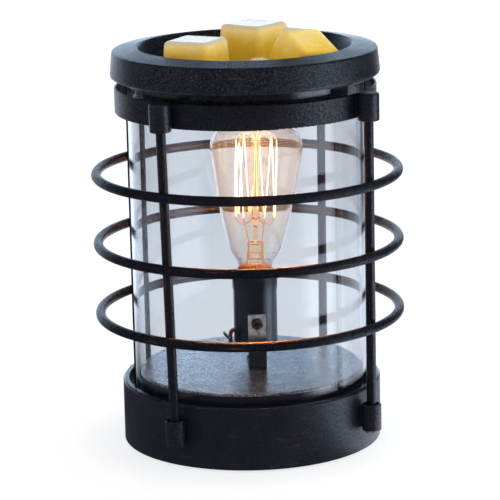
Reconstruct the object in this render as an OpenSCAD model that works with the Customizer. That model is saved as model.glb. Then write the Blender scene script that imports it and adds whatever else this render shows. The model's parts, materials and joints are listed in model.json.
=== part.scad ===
// Light bulb wax warmer: a wire-caged glass chimney on a drum base, with a
// squirrel-cage bulb inside and a wax dish that rests on the glass.
// Millimetres, +Z up. Origin: centre of the footprint, on the surface that the
// rubber feet stand on. The front is -Y; the posts stand on the diagonals.

/* [Base] */
// Outer radius of the drum
base_r = 61; // [60.9:0.1:61.2]
// Height of the drum's lip above the surface
lip_z = 30; // [29:0.5:31]
// Top of the raised deck above the surface
deck_z = 34.6; // [34:0.2:36]
// Outer radius of the raised deck
deck_r = 52.5; // [51:0.25:52.75]
// Sheet thickness of drum and deck
sheet = 1; // [0.8:0.1:1.2]
// Height at which the chimney stands in its groove
groove_z = 26; // [25:0.5:27]
// Height of the cord bushing's axis
cord_z = 13; // [12:0.5:15]
// Radius of the cord bushing's bore
cord_r = 2.9; // [2.5:0.1:3.4]

/* [Cage] */
// Radius of the circle that the posts stand on
post_ring_r = 66.2; // [66:0.1:66.4]
// Diameter of the post and hoop wire
wire_d = 4.5; // [4:0.1:4.6]
// Depth to which a hoop is sunk into each post by its weld
weld_sink = 0.15; // [0.05:0.05:0.3]
// Height of the lower hoop's centre line
hoop_low_z = 61.8; // [57:0.2:66]
// Vertical spacing of the three hoops
hoop_pitch = 33.2; // [30:0.2:35]
// Turn of the front left post round the ring
front_left_turn = -0.1; // [-1:0.1:0]
// Lean of the front left post, its top towards the left
front_left_lean = 1.35; // [0:0.05:1.4]
// Turn of the rear right post round the ring
rear_right_turn = -1.4; // [-2:0.1:0]
// Lean of the rear right post, its top towards the right
rear_right_lean = 0.35; // [0:0.05:0.5]
// Turn of the rear left post round the ring
rear_left_turn = -0.3; // [-1:0.1:0]
// Lean of the rear left post, its top towards the right
rear_left_lean = 0.5; // [0:0.05:0.6]
// Lift of the middle hoop above half way
hoop_mid_lift = 0.35; // [0:0.05:0.6]
// Outer radius of the top band
band_r = 60.8; // [60.4:0.1:61]
// Height of the band's lower edge
band_z = 157.7; // [157.2:0.1:158.2]
// Height of the band itself
band_h = 11.5; // [11:0.5:12.5]
// Outer diameter of a lower post cap
low_cap_d = 9; // [8.8:0.1:9.3]
// Outer diameter of an upper post cap
up_cap_d = 9.9; // [9.6:0.1:10]
// Length of a lower post cap
low_cap_len = 13.6; // [13:0.2:14]
// Length of an upper post cap
up_cap_len = 12.8; // [12.4:0.2:13.2]

/* [Glass] */
// Outer radius of the chimney
glass_r = 55.7; // [55.2:0.1:56.5]
// Wall thickness of the chimney
glass_wall = 2.4; // [2:0.1:2.5]
// Height of the chimney's upper edge, where the dish rests
glass_top = 182.9; // [182.5:0.1:183.3]

/* [Dish] */
// Outer radius of the dish's rim at its lower edge
rim_r = 62.5; // [62.3:0.1:63.5]
// Wall thickness of the bowl
dish_wall = 2.6; // [2:0.1:3]
// Radius of the curve between the bowl's floor and wall
bowl_fillet = 6; // [4:1:7]
// Height of the bowl's inner floor above the surface
bowl_floor = 167; // [166.8:0.1:167.2]
// Outer radius of the ring under the bowl
skirt_r = 47.6; // [47:0.1:48]
// Height of the lower edge of the ring under the bowl
skirt_z = 158.5; // [157.5:0.5:160]

/* [Lamp holder] */
// Outer radius of the holder's body
holder_r = 10.35; // [10.2:0.05:10.5]
// Underside of the holder above the surface
holder_z = 45.5; // [45:0.5:47]
// Top of the holder's collar above the surface
holder_top = 79.4; // [79.2:0.2:80.6]
// Sideways place of the holder on the deck, across the width
holder_x = 2.4; // [-2.5:0.1:2.5]
// Sideways place of the holder on the deck, front to back
holder_y = -0.4; // [-2:0.1:2]
// Turn of the holder and its bracket about the upright axis
holder_turn = -8; // [-45:1:45]
// Width of the bracket strap
strap_w = 8.4; // [8:0.2:9.6]

/* [Bulb] */
// Height of the top of the bulb's glass
bulb_top = 153.6; // [152:0.2:155]
// Radius of the wire cage that the filament makes
cage_r = 9.5; // [8.5:0.1:10.5]
// Lower hooks' height
cage_low = 106.8; // [106:0.2:108]
// Upper hooks' height
cage_high = 142.2; // [141.5:0.1:142.8]
// Number of filament strands
strands = 14; // [12:2:16]
// Turn of the bulb about its axis
bulb_clock = -11; // [-90:1:90]
// Lean of the bulb in its holder, towards the right
bulb_lean = 1.7; // [0:0.1:1.7]

/* [Wax] */
// Width of a wax cube at its foot
wax_w = 25; // [22:0.5:25]
// Height of a wax cube
wax_h = 25; // [22:0.5:25]
// Rounding of a wax cube's edges
wax_round = 3; // [2:0.5:4]

/* [Hidden] */
$fn = 96;
eps = 0.01;

wire_r = wire_d / 2;
hoop_r = post_ring_r + wire_d - weld_sink;   // centre line of every hoop
cap_end = 1.2;                               // closed end of a post cap
low_cap_z = 10.6;
up_cap_z = band_z + band_h / 2 - up_cap_len / 2;
post_low = low_cap_z + cap_end;
post_high = up_cap_z + up_cap_len - cap_end;
lean_z = (post_low + post_high) / 2;         // a leaning post turns about its middle
// each post: azimuth, lean
POSTS = [[-135 + front_left_turn, front_left_lean], [-45, 0], [45 + rear_right_turn, rear_right_lean], [135 + rear_left_turn, rear_left_lean]];
bronze = [0.09, 0.10, 0.12];
brass = [0.78, 0.62, 0.30];
zinc = [0.62, 0.63, 0.64];
wax = [0.90, 0.78, 0.42];
clear = [0.80, 0.86, 0.90, 0.35];

// ---- helpers -------------------------------------------------------------

// Points along an arc, from angle a0 to a1
function arc(cx, cz, r, a0, a1, n) =
    [for (i = [0 : n]) [cx + r * cos(a0 + (a1 - a0) * i / n), cz + r * sin(a0 + (a1 - a0) * i / n)]];

// Smooth curve through a list of points, n steps between neighbours
function spline_at(a, b, c, d, t) =
    0.5 * (2 * b + (c - a) * t + (2 * a - 5 * b + 4 * c - d) * t * t + (3 * b - a - 3 * c + d) * t * t * t);
function spline(p, n) = [
    for (i = [0 : len(p) - 2], k = [0 : n - 1])
        spline_at(i == 0 ? 2 * p[0] - p[1] : p[i - 1], p[i], p[i + 1],
                  i + 2 < len(p) ? p[i + 2] : 2 * p[i + 1] - p[i], k / n),
    p[len(p) - 1]];

function unit(v) = v / norm(v);

// A straight round rod between two points
module rod(a, b, r) {
    d = b - a;
    translate(a) rotate([0, acos(d[2] / norm(d)), atan2(d[1], d[0])])
        cylinder(h = norm(d), r = r, $fn = 24);
}

// A round tube along a list of points: 8 sides, closed at both ends
module tube(path, r, sides = 8) {
    n = len(path);
    tan_at = [for (i = [0 : n - 1]) unit(path[min(i + 1, n - 1)] - path[max(i - 1, 0)])];
    side_at = [for (i = [0 : n - 1]) unit(cross(tan_at[i], [0.31, 0.93, 0.19]))];
    pts = [for (i = [0 : n - 1], k = [0 : sides - 1])
        path[i] + r * (cos(360 * k / sides) * side_at[i] + sin(360 * k / sides) * cross(tan_at[i], side_at[i]))];
    polyhedron(pts, concat(
        [[for (k = [0 : sides - 1]) k]],
        [[for (k = [0 : sides - 1]) (n - 1) * sides + sides - 1 - k]],
        [for (i = [0 : n - 2], k = [0 : sides - 1])
            [i * sides + k, (i + 1) * sides + k, (i + 1) * sides + (k + 1) % sides, i * sides + (k + 1) % sides]]),
        convexity = 6);
}

// Domed screw head with a cross recess, top at z = h, seat at z = 0
module pan_head(r, h) {
    difference() {
        rotate_extrude($fn = 48) polygon(concat([[0, 0], [r, 0], [r, h * 0.45]],
            arc(r - h * 0.55, h * 0.45, h * 0.55, 0, 90, 5), [[0, h]]));
        for (a = [0, 90]) rotate([0, 0, a])
            translate([-r * 0.55, -r * 0.11, h * 0.45]) cube([r * 1.1, r * 0.22, h]);
    }
}

// Frame of the lamp holder and of the bulb
module at_holder() { translate([holder_x, holder_y, 0]) rotate([0, 0, holder_turn]) children(); }
module at_bulb() {
    translate([holder_x, holder_y, 70]) rotate([0, 0, -12]) rotate([0, bulb_lean, 0]) rotate([0, 0, bulb_clock + 12])
        translate([0, 0, -70]) children();
}

// ---- base ----------------------------------------------------------------

// Drum: outer wall, rolled lip and four inner lugs
module drum() {
    lip_in = base_r - 2.8;
    difference() {
        union() {
            rotate_extrude($fn = 128) {
                translate([base_r - sheet, 1]) square([sheet, lip_z - 2.2]);
                translate([lip_in, lip_z - 1.2]) square([base_r - 1.2 - lip_in, 1.2]);
                intersection() {
                    translate([base_r - 1.2, lip_z - 1.2]) circle(r = 1.2, $fn = 32);
                    translate([base_r - 1.2, lip_z - 1.2]) square([1.2, 1.2]);
                }
                translate([lip_in, groove_z]) square([1, lip_z - groove_z - 0.5]);
            }
            intersection() {
                for (a = [0 : 90 : 270]) rotate([0, 0, a])
                    translate([48, -5, 3]) cube([13, 10, 1.2]);
                cylinder(h = 20, r = base_r - sheet / 2);
            }
        }
        for (a = [0 : 90 : 270]) rotate([0, 0, a])
            translate([54, 0, 2]) cylinder(h = 4, r = 1.3, $fn = 32);
        translate([0, 50, cord_z]) rotate([-90, 0, 0]) cylinder(h = 15, r = 5, $fn = 48);
    }
}

// The drum's rear, round the cord's hole, is a node of its own
module rear_part() translate([-13, 40, 0]) cube([26, 30, lip_z + 1]);
module base_shell() color(bronze) difference() {
    drum();
    rear_part();
}
module base_shell_rear() color(bronze) intersection() {
    drum();
    rear_part();
}

// Flat ring welded under the lip: the floor of the groove that the glass stands in
module base_groove() color(bronze) rotate_extrude($fn = 128)
    translate([45, groove_z - 1]) square([base_r - 1.8 - 45, 1]);

// Upright rim that carries the deck
module deck_wall() color(bronze) rotate_extrude($fn = 128)
    translate([deck_r - sheet, groove_z]) square([sheet, deck_z - sheet - groove_z]);

// Deck: a round plate on its rim
module base_deck() color(bronze) difference() {
    rotate_extrude($fn = 128) {
        translate([0, deck_z - sheet]) square([deck_r - sheet, sheet]);
        intersection() {
            translate([deck_r - sheet, deck_z - sheet]) circle(r = sheet, $fn = 32);
            translate([deck_r - sheet, deck_z - sheet]) square([sheet, sheet]);
        }
    }
    at_holder() {
        translate([0, 0, 30]) cylinder(h = 8, r = 1.7, $fn = 32);
        translate([0, 10.2, 30]) cylinder(h = 8, r = 3.2, $fn = 32);
    }
}

module bottom_cover() color([0.16, 0.16, 0.17]) difference() {
    translate([0, 0, 1.8]) cylinder(h = 1.2, r = base_r - sheet - 0.6, $fn = 128);
    for (a = [0 : 90 : 270]) rotate([0, 0, a])
        translate([54, 0, 1]) cylinder(h = 4, r = 1.6, $fn = 32);
}

module cover_screws() color(zinc)
    for (a = [0 : 90 : 270]) rotate([0, 0, a]) translate([54, 0, 1.8]) {
        mirror([0, 0, 1]) pan_head(2.7, 1.3);
        cylinder(h = 6, r = 1.3, $fn = 32);
    }

module rubber_feet() color([0.10, 0.10, 0.10])
    for (a = [45 : 90 : 315]) rotate([0, 0, a]) translate([48, 0, 0])
        rotate_extrude($fn = 48) polygon(concat([[0, 0]], arc(5.5, 0.5, 0.5, -90, 0, 4), [[6, 1.8], [0, 1.8]]));

// Bushing in the drum's rear wall that the supply cord would pass through
module cord_grommet() color([0.06, 0.06, 0.06])
    difference() {
        union() {
            translate([0, base_r - 4, cord_z]) rotate([-90, 0, 0]) cylinder(h = 6.4, r = 5, $fn = 48);
            difference() {
                translate([0, base_r - 1, cord_z]) rotate([-90, 0, 0]) rotate_extrude($fn = 48)
                    polygon(concat([[0, 0], [7, 0], [7, 1.8]], arc(6, 1.8, 1, 0, 90, 5), [[0, 2.8]]));
                cylinder(h = lip_z, r = base_r, $fn = 128);
            }
            intersection() {
                translate([0, base_r - 4, cord_z]) rotate([-90, 0, 0]) cylinder(h = 4, r1 = 5.6, r2 = 6.6, $fn = 48);
                cylinder(h = lip_z, r = base_r - sheet, $fn = 128);
            }
        }
        translate([0, base_r - 6, cord_z]) rotate([-90, 0, 0]) cylinder(h = 12, r = cord_r, $fn = 48);
    }

// ---- cage ----------------------------------------------------------------

// Frame of a post: upright on the ring at azimuth p[0], leaning by p[1] round it
module on_post(p) rotate([0, 0, p[0]]) translate([0, 0, lean_z]) rotate([p[1], 0, 0])
    translate([post_ring_r, 0, -lean_z]) children();

module post(p) color(bronze) on_post(p)
    translate([0, 0, post_low]) cylinder(h = post_high - post_low, r = wire_r, $fn = 48);

// Post cap: a short tube closed at one end, with a seat for the post's end, a
// wider mouth, and the weld that joins it to a wall of radius wall_r.
module post_cap(p, wall_r, d, len, edge, z, up) color(bronze) {
    r = d / 2;
    mid = z + len / 2;
    weld_a = p[0] - atan((mid - lean_z) * tan(p[1]) / post_ring_r);
    difference() {
        union() {
            on_post(p) translate([0, 0, up ? z + len : z]) mirror([0, 0, up ? 1 : 0]) rotate_extrude($fn = 64)
                polygon(concat([[0, 0], [r - edge, 0]],
                    edge > 1.2 ? [[r, edge]] : arc(r - edge, edge, edge, -90, 0, 5),
                    [[r, len - 0.4], [r - 0.4, len], [0, len]]));
            difference() {
                rotate([0, 0, weld_a]) translate([wall_r - 1, -2, z + 2.2])
                    cube([post_ring_r - wall_r - 2, 4, len - 4.4]);
                translate([0, 0, z - 1]) cylinder(h = len + 2, r = wall_r, $fn = 128);
            }
        }
        on_post(p) translate([0, 0, up ? z + len : z]) mirror([0, 0, up ? 1 : 0]) {
            translate([0, 0, cap_end]) cylinder(h = 3, r = wire_r, $fn = 48);
            translate([0, 0, cap_end + 3]) cylinder(h = len, r = 3.5, $fn = 48);
        }
    }
}
module lower_cap(p) post_cap(p, base_r, low_cap_d, low_cap_len, 1.4, low_cap_z, false);
module upper_cap(p) post_cap(p, band_r, up_cap_d, up_cap_len, 1, up_cap_z, true);

module hoop(z) color(bronze) translate([0, 0, z])
    rotate_extrude($fn = 128) translate([hoop_r, 0]) circle(r = wire_r, $fn = 32);

module top_band() color(bronze) rotate_extrude($fn = 128) {
    translate([band_r - 1, band_z + 0.5]) square([1, band_h - 1]);
    for (z = [band_z + 0.5, band_z + band_h - 0.5])
        translate([band_r - 0.5, z]) circle(r = 0.5, $fn = 24);
}

// ---- glass and dish ------------------------------------------------------

module glass_chimney() color(clear) {
    r = 0.7;
    rotate_extrude($fn = 128) {
        translate([glass_r - glass_wall, groove_z + r]) square([glass_wall, glass_top - groove_z - 2 * r]);
        for (z = [groove_z, glass_top - r]) translate([glass_r - glass_wall + r, z]) square([glass_wall - 2 * r, r]);
        for (z = [groove_z + r, glass_top - r], x = [glass_r - glass_wall + r, glass_r - r])
            translate([x, z]) circle(r = r, $fn = 32);
    }
}

// Bowl with a sloped wall, a rounded crest and a broad rim whose skirt hangs
// over the chimney's edge
lean = 24.75;                            // slope of the bowl's wall from upright
seat = glass_top;
bowl_foot = 42.685 - (seat - 182.2 - bowl_floor + 167) * tan(lean);
module wax_dish() color(bronze) {
    floor_z = bowl_floor;
    c = [bowl_foot - bowl_fillet, floor_z + bowl_fillet];
    crest = [50.64, seat + 3.17];
    edge = [rim_r - 1.96, seat + 2.05];
    bowl_out = bowl_outer(seat);
    rotate_extrude($fn = 128) polygon(concat(
        [[0, floor_z]],
        arc(c[0], c[1], bowl_fillet, -90, -lean, 6),
        arc(crest[0], crest[1], 1.5, 180 - lean, 80.7, 7),
        arc(edge[0], edge[1], 1, 80.7, 7.6, 5),
        [[rim_r, seat - 7.4], [rim_r - 0.2, seat - 8.5], [rim_r - 1, seat - 9.1], [rim_r - 1.9, seat - 9.2],
         [rim_r - 2.6, seat - 8.7], [rim_r - 2.9, seat - 7.8], [rim_r - 2.9, seat - 1]],
        arc(rim_r - 3.9, seat - 1, 1, 0, 90, 4),
        [[bowl_out, seat]],
        arc(c[0], c[1], bowl_fillet + dish_wall, -lean, -90, 6),
        [[0, floor_z - dish_wall]]));
}

// Radius of the bowl's outer slope at a height
function bowl_outer(z) = bowl_foot - bowl_fillet + (bowl_fillet + dish_wall) / cos(lean) + (z - bowl_floor - bowl_fillet) * tan(lean);
function bowl_slope_z(r) = seat - (bowl_outer(seat) - r) / tan(lean);

// Ring welded under the bowl, which keeps the dish in the middle of the glass
module dish_skirt() color(bronze) rotate_extrude($fn = 128) {
    polygon([[skirt_r - 1.4, skirt_z + 0.7], [skirt_r, skirt_z + 0.7], [skirt_r, bowl_slope_z(skirt_r)],
        [skirt_r - 1.4, bowl_slope_z(skirt_r - 1.4)]]);
    translate([skirt_r - 0.7, skirt_z + 0.7]) circle(r = 0.7, $fn = 32);
}

// ---- wax -----------------------------------------------------------------

// Cube with rounded edges and slightly tapering sides, foot at z = 0; the sides
// are drawn in by foot_in at the foot, mid_in at mid_z and 0.9 mm at the top.
// on: share of the foot's and the middle's draw on the sides -x, +x, -y, +y
module wax_cube(w, d, h, r, foot_in, mid_in, mid_z, on = [1, 1, 1, 1]) color(wax) hull()
    for (sx = [0, 1], sy = [0, 1], s = [[foot_in, r, 0], [mid_in, mid_z, 0], [0.9, h - r, 1]])
        translate([(2 * sx - 1) * (w / 2 - r - s[0] * max(s[2], on[sx])),
            (2 * sy - 1) * (d / 2 - r - s[0] * max(s[2], on[2 + sy])), s[1]]) sphere(r = r, $fn = 24);

module wax_cube_left() translate([-24.4, -9.1, bowl_floor]) rotate([0, 0, -37.4])
    wax_cube(wax_w, wax_w, wax_h + 0.5, wax_round, 2, 0, 8);
module wax_cube_middle() translate([9.7, 24.4, bowl_floor]) rotate([0, 0, -48.1])
    wax_cube(wax_w + 0.9, wax_w + 0.9, wax_h + 1.9, wax_round, 3.2, 0, 8);
module wax_cube_right() translate([23.3, -21.1, bowl_floor + 15.35]) rotate([25.6, 9.2, 23.5])
    translate([0, 0, 11 - wax_h * 0.8]) wax_cube(wax_w - 1, wax_w - 1, wax_h * 0.8, wax_round, 4, 1.8, 10, [0.1, 1, 1, 0.3]);
module wax_cube_front() translate([1.7, -29.4, bowl_floor]) rotate([0, 0, 14])
    wax_cube(10, 14, 18, 2.6, 1.2, 0, 6);

// ---- lamp holder ---------------------------------------------------------

// Moulded body: solid foot, bore for the screw shell, blind holes for the
// bracket screw and the side lead
module socket_body() color([0.13, 0.14, 0.15]) at_holder() difference() {
    rotate_extrude($fn = 96) {
        translate([0, holder_z + 0.8]) square([holder_r, 72.1 - holder_z - 0.8]);
        translate([0, holder_z]) square([holder_r - 0.8, 0.8]);
        intersection() {
            translate([holder_r - 0.8, holder_z + 0.8]) circle(r = 0.8, $fn = 32);
            translate([holder_r - 0.8, holder_z]) square([0.8, 0.8]);
        }
    }
    translate([0, 0, 54]) cylinder(h = 30, r = 6.9, $fn = 64);
    translate([0, -holder_r - 1, 57]) rotate([-90, 0, 0]) cylinder(h = 3.75, r = 1.3, $fn = 32);
    translate([-holder_r - 1, 0, 51.5]) rotate([0, 90, 0]) cylinder(h = 4.5, r = 1.3, $fn = 32);
}

module socket_collar() color([0.12, 0.13, 0.14]) at_holder() rotate_extrude($fn = 96)
    polygon(concat([[6.9, 72.1], [holder_r + 0.35, 72.1], [holder_r + 0.35, holder_top - 0.6]],
        arc(holder_r - 0.25, holder_top - 0.6, 0.6, 0, 90, 4),
        [[9.25, holder_top], [9, holder_top - 0.35], [9, 78.7], [6.9, 77.3]]));

// Brass screw shell lining the holder
module socket_shell() color(brass) at_holder() difference() {
    translate([0, 0, 60]) cylinder(h = 17, r = 6.9, $fn = 64);
    translate([0, 0, 59]) cylinder(h = 19, r = 6.5, $fn = 64);
}

// Centre contact: rivet and domed button
module socket_contact() color(brass) at_holder() rotate_extrude($fn = 48)
    polygon(concat([[0, 54], [3.4, 54], [3.4, 54.8], [1.6, 54.8], [1.6, 56.9]], arc(0.9, 56.9, 0.7, 0, 90, 4), [[0, 57.6]]));

// Strap: upright leg in front of the holder, foot under it
module socket_bracket() color(zinc) at_holder() difference() {
    union() {
        translate([-strap_w / 2, 0, 0]) rotate([90, 0, 90]) linear_extrude(strap_w) {
            translate([-holder_r - 1, deck_z + 2]) square([1, 54.9 - deck_z]);
            translate([-holder_r + 1, deck_z]) square([holder_r + 5, 1]);
            intersection() {
                difference() {
                    translate([-holder_r + 1, deck_z + 2]) circle(r = 2, $fn = 48);
                    translate([-holder_r + 1, deck_z + 2]) circle(r = 1, $fn = 48);
                }
                translate([-holder_r - 1, deck_z]) square([2, 2]);
            }
        }
        translate([-strap_w / 2 + 1, -holder_r - 1, 56.9]) cube([strap_w - 2, 1, 4.3]);
        for (s = [-1, 1]) translate([s * (strap_w / 2 - 1), -holder_r, 60.2 - 0.0])
            rotate([90, 0, 0]) cylinder(h = 1, r = 1, $fn = 32);
        translate([-strap_w / 2, -holder_r - 1, 56.9]) cube([strap_w, 1, 3.3]);
    }
    translate([0, -holder_r - 2, 57]) rotate([-90, 0, 0]) cylinder(h = 4, r = 1.6, $fn = 32);
    translate([0, 0, deck_z - 1]) cylinder(h = 4, r = 1.7, $fn = 32);
}

module bracket_screw() color([0.25, 0.24, 0.23]) at_holder() translate([0, -holder_r - 1, 57])
    rotate([90, 0, 0]) {
        pan_head(2.8, 1.9);
        translate([0, 0, -3.6]) cylinder(h = 3.6, r = 1.3, $fn = 32);
    }

module foot_screw() color(zinc) at_holder() {
    translate([0, 0, deck_z + 1]) pan_head(2.8, 1.9);
    translate([0, 0, deck_z - 5]) cylinder(h = 6, r = 1.5, $fn = 32);
}

module foot_nut() color(zinc) at_holder() translate([0, 0, deck_z - sheet - 2.4]) difference() {
    cylinder(h = 2.4, r = 3.2, $fn = 6);
    translate([0, 0, -1]) cylinder(h = 5, r = 1.5, $fn = 32);
}

// ---- leads ---------------------------------------------------------------

module lead_bushing() color([0.07, 0.07, 0.07]) at_holder() translate([0, 10.2, 0]) difference() {
    union() {
        translate([0, 0, deck_z - sheet - 1.6]) cylinder(h = 4, r = 3.2, $fn = 32);
        translate([0, 0, deck_z]) cylinder(h = 1.2, r1 = 4, r2 = 3.6, $fn = 32);
        translate([0, 0, deck_z - sheet - 1.6]) cylinder(h = 1.6, r1 = 3.5, r2 = 3.9, $fn = 32);
    }
    translate([0, 0, 30]) cylinder(h = 8, r = 2.4, $fn = 32);
}

// Route points of the two leads, from the holder to their splices
live_route = [[-8, 0, 51.5], [-10.4, 0, 51.5], [-11.9, 0.1, 50], [-12, 0.9, 46.5], [-10.6, 3.6, 42.8], [-7, 7.4, 40.9],
    [-3, 9.6, 39.8], [-1.2, 10.1, 37.8], [-1.05, 10.2, 35.6], [-1.05, 10.2, 30], [-1.8, 9.6, 24], [-6, 6.2, 16.5],
    [-12, 4.6, 10.8], [-15.5, 6.8, 8], [-16, 11, 7.6], [-16, 17, 7.6]];
neutral_route = [[-4.6, -1, holder_z], [-4.8, -0.4, holder_z - 1.8], [-3.4, 3.4, 41.6], [-0.2, 7.6, 40.4],
    [1, 9.8, 38.4], [1.05, 10.2, 35.6], [1.05, 10.2, 30], [1.2, 9.6, 24], [0.4, 6.4, 16.5], [-2.4, 5, 10.8],
    [-3.8, 7.2, 8], [-4, 11, 7.6], [-4, 17, 7.6]];

module lead_live() color([0.36, 0.17, 0.10]) at_holder() tube(spline(live_route, 3), 1);
module lead_neutral() color([0.36, 0.17, 0.10]) at_holder() tube(spline(neutral_route, 3), 1);

// Closed-end splice cap lying on the bottom cover
module splice_cap(x) color([0.78, 0.76, 0.70]) at_holder() translate([x, 13, 7.6])
    rotate([-90, 0, 0]) difference() {
        rotate_extrude($fn = 48) polygon(concat([[0, 0], [4.4, 0], [4.4, 1.2], [3.7, 2.4]], arc(1.9, 15.5, 1.8, 10, 90, 5), [[0, 17.3]]));
        translate([0, 0, -1]) cylinder(h = 8, r = 2.2, $fn = 32);
    }
module splice_cap_live() splice_cap(-16);
module splice_cap_neutral() splice_cap(-4);

// Thin strip beside the holder with a flared tip
module lead_clip() color([0.05, 0.05, 0.05]) at_holder() translate([0, -3.4, 0]) rotate([90, 0, 0])
    linear_extrude(3.8) {
        translate([-13.2, holder_z - 0.7]) square([0.8, deck_z + 14.8 - holder_z]);
        translate([-13.2, holder_z - 0.7]) square([9.2, 0.7]);
        polygon([[-13.2, deck_z + 13.9], [-12.4, deck_z + 13.9], [-12.4, deck_z + 14.1], [-15.1, deck_z + 17.3],
            [-15.75, deck_z + 16.75]]);
    }

// ---- bulb ----------------------------------------------------------------

// Outline of the bulb's glass, from the neck to the crown
env_pts = [[7.3, 80.4], [7.75, 82.3], [8.7, 85], [10.6, 88.1], [12.9, 93], [15.9, 104.7], [18.3, 116.3],
    [20.2, 128.5], [21.7, 138], [20.5, bulb_top - 9.2], [15.4, bulb_top - 4.4], [8, bulb_top - 1.1], [0, bulb_top]];
env_wall = 0.7;
env_out = spline(env_pts, 5);
env_n = len(env_out);
function env_normal(i) = let (d = unit(env_out[min(i + 1, env_n - 1)] - env_out[max(i - 1, 0)])) [d[1], -d[0]];
env_in = [for (i = [0 : env_n - 1]) i == env_n - 1 ? [0, bulb_top - env_wall]
    : [max(0, env_out[i][0] - env_wall * env_normal(i)[0]), env_out[i][1] - env_wall * env_normal(i)[1]]];

module bulb_envelope() color([0.98, 0.93, 0.86, 0.3]) at_bulb() rotate_extrude($fn = 96)
    polygon(concat(env_out, [for (i = [env_n - 1 : -1 : 0]) env_in[i]]));

// Screw cap: rolled thread and a skirt that holds the neck
thread_pitch = 2.54;
module bulb_cap() color(brass) at_bulb() rotate_extrude($fn = 64)
    polygon(concat([[4.9, 63], [5.4, 63]],
        [for (i = [0 : 30]) [5.7 - 0.25 * cos(360 * i / 6), 63.6 + thread_pitch * i / 6]],
        [[5.5, 77], [6.2, 77.7], [8.2, 79.5], [8.3, 80], [8.3, 81.3], [7.95, 81.3], [7.9, 80.2], [7.2, 79.8], [5.4, 78], [4.9, 77.2]]));

module bulb_insulator() color([0.05, 0.05, 0.06]) at_bulb() rotate_extrude($fn = 48)
    polygon([[0, 59.6], [2.7, 59.6], [3.1, 60], [4.9, 62.4], [4.9, 63], [0, 63]]);

module bulb_tip() color([0.72, 0.72, 0.70]) at_bulb() rotate_extrude($fn = 48)
    polygon(concat([[0, 57.6]], arc(0, 60.1, 2.5, -78, -20, 6), [[2.35, 59.6], [0, 59.6]]));

// Glass stem: flare sealed into the neck, tube and flattened pinch
module bulb_stem() color(clear) at_bulb() {
    rotate_extrude($fn = 48) polygon([[0, 80.9], [6.2, 80.9], [6.35, 81.5], [5, 82.7], [3.7, 84], [3.1, 85.6], [3, 88], [0, 88]]);
    translate([-2.3, -1.6, 86]) cube([4.6, 3.2, 7.8]);
    for (x = [-2.3, 2.3]) translate([x, 0, 86]) cylinder(h = 7.8, r = 1.6, $fn = 32);
}

// Centre rod with its bead and its button
module bulb_rod() color(clear) at_bulb() {
    translate([0, 0, 93.8]) cylinder(h = 11.5, r = 1.05, $fn = 32);
    translate([0, 0, 105.4]) sphere(r = 2.2, $fn = 32);
    translate([0, 0, 105.4]) cylinder(h = 36.9, r = 1.6, $fn = 32);
    translate([0, 0, 142.3]) sphere(r = 2.15, $fn = 32);
}

// Places round the cage: even ones carry lower hooks, odd ones upper hooks
function place(k) = -36 - k * 300 / strands;
function on_cage(k, z) = [cage_r * sin(place(k)), -cage_r * cos(place(k)), z];

module arch(k, inner, z, up) rotate([0, 0, place(k) - 90])
    translate([(cage_r + inner) / 2, 0, z]) rotate([up ? 90 : -90, 0, 0])
        rotate_extrude(angle = 180, $fn = 48) translate([(cage_r - inner) / 2, 0]) circle(r = 0.2, $fn = 16);

module bulb_hooks() color([0.55, 0.50, 0.44]) at_bulb() {
    for (k = [1 : 2 : strands - 1]) arch(k, 1, cage_high, true);
    for (k = [2 : 2 : strands - 2]) arch(k, 1.4, cage_low - 0.4, false);
}

module bulb_leads() color([0.60, 0.42, 0.22]) at_bulb() {
    rod([-3, 0, 91], on_cage(0, cage_low - 0.4), 0.28);
    rod([3, 0, 91], on_cage(strands, cage_low - 0.4), 0.28);
}

module bulb_filament() color([1, 0.72, 0.35]) at_bulb()
    for (k = [0 : strands - 1]) {
        a = on_cage(k, k % 2 == 0 ? cage_low : cage_high - 0.4);
        b = on_cage(k + 1, k % 2 == 0 ? cage_high - 0.4 : cage_low);
        rod(a + 0.012 * (b - a), b - 0.012 * (b - a), 0.16);
    }

// ---- nodes ---------------------------------------------------------------

base_shell();
base_shell_rear();
base_groove();
base_deck();
deck_wall();
bottom_cover();
cover_screws();
rubber_feet();
cord_grommet();
post(POSTS[0]);  // post_front_left
post(POSTS[1]);  // post_front_right
post(POSTS[2]);  // post_rear_right
post(POSTS[3]);  // post_rear_left
lower_cap(POSTS[0]);  // lower_cap_front_left
lower_cap(POSTS[1]);  // lower_cap_front_right
lower_cap(POSTS[2]);  // lower_cap_rear_right
lower_cap(POSTS[3]);  // lower_cap_rear_left
upper_cap(POSTS[0]);  // upper_cap_front_left
upper_cap(POSTS[1]);  // upper_cap_front_right
upper_cap(POSTS[2]);  // upper_cap_rear_right
upper_cap(POSTS[3]);  // upper_cap_rear_left
hoop(hoop_low_z + 2 * hoop_pitch);  // hoop_upper
hoop(hoop_low_z + hoop_pitch + hoop_mid_lift);  // hoop_middle
hoop(hoop_low_z);  // hoop_lower
top_band();
glass_chimney();
wax_dish();
dish_skirt();
wax_cube_left();
wax_cube_middle();
wax_cube_right();
wax_cube_front();
socket_body();
socket_collar();
socket_shell();
socket_contact();
socket_bracket();
bracket_screw();
foot_screw();
foot_nut();
lead_bushing();
lead_live();
lead_neutral();
lead_clip();
splice_cap_live();
splice_cap_neutral();
bulb_envelope();
bulb_cap();
bulb_insulator();
bulb_tip();
bulb_stem();
bulb_rod();
bulb_hooks();
bulb_leads();
bulb_filament();
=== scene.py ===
import json
import math

import bmesh
import bpy
from mathutils import Matrix, Vector, noise

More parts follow.
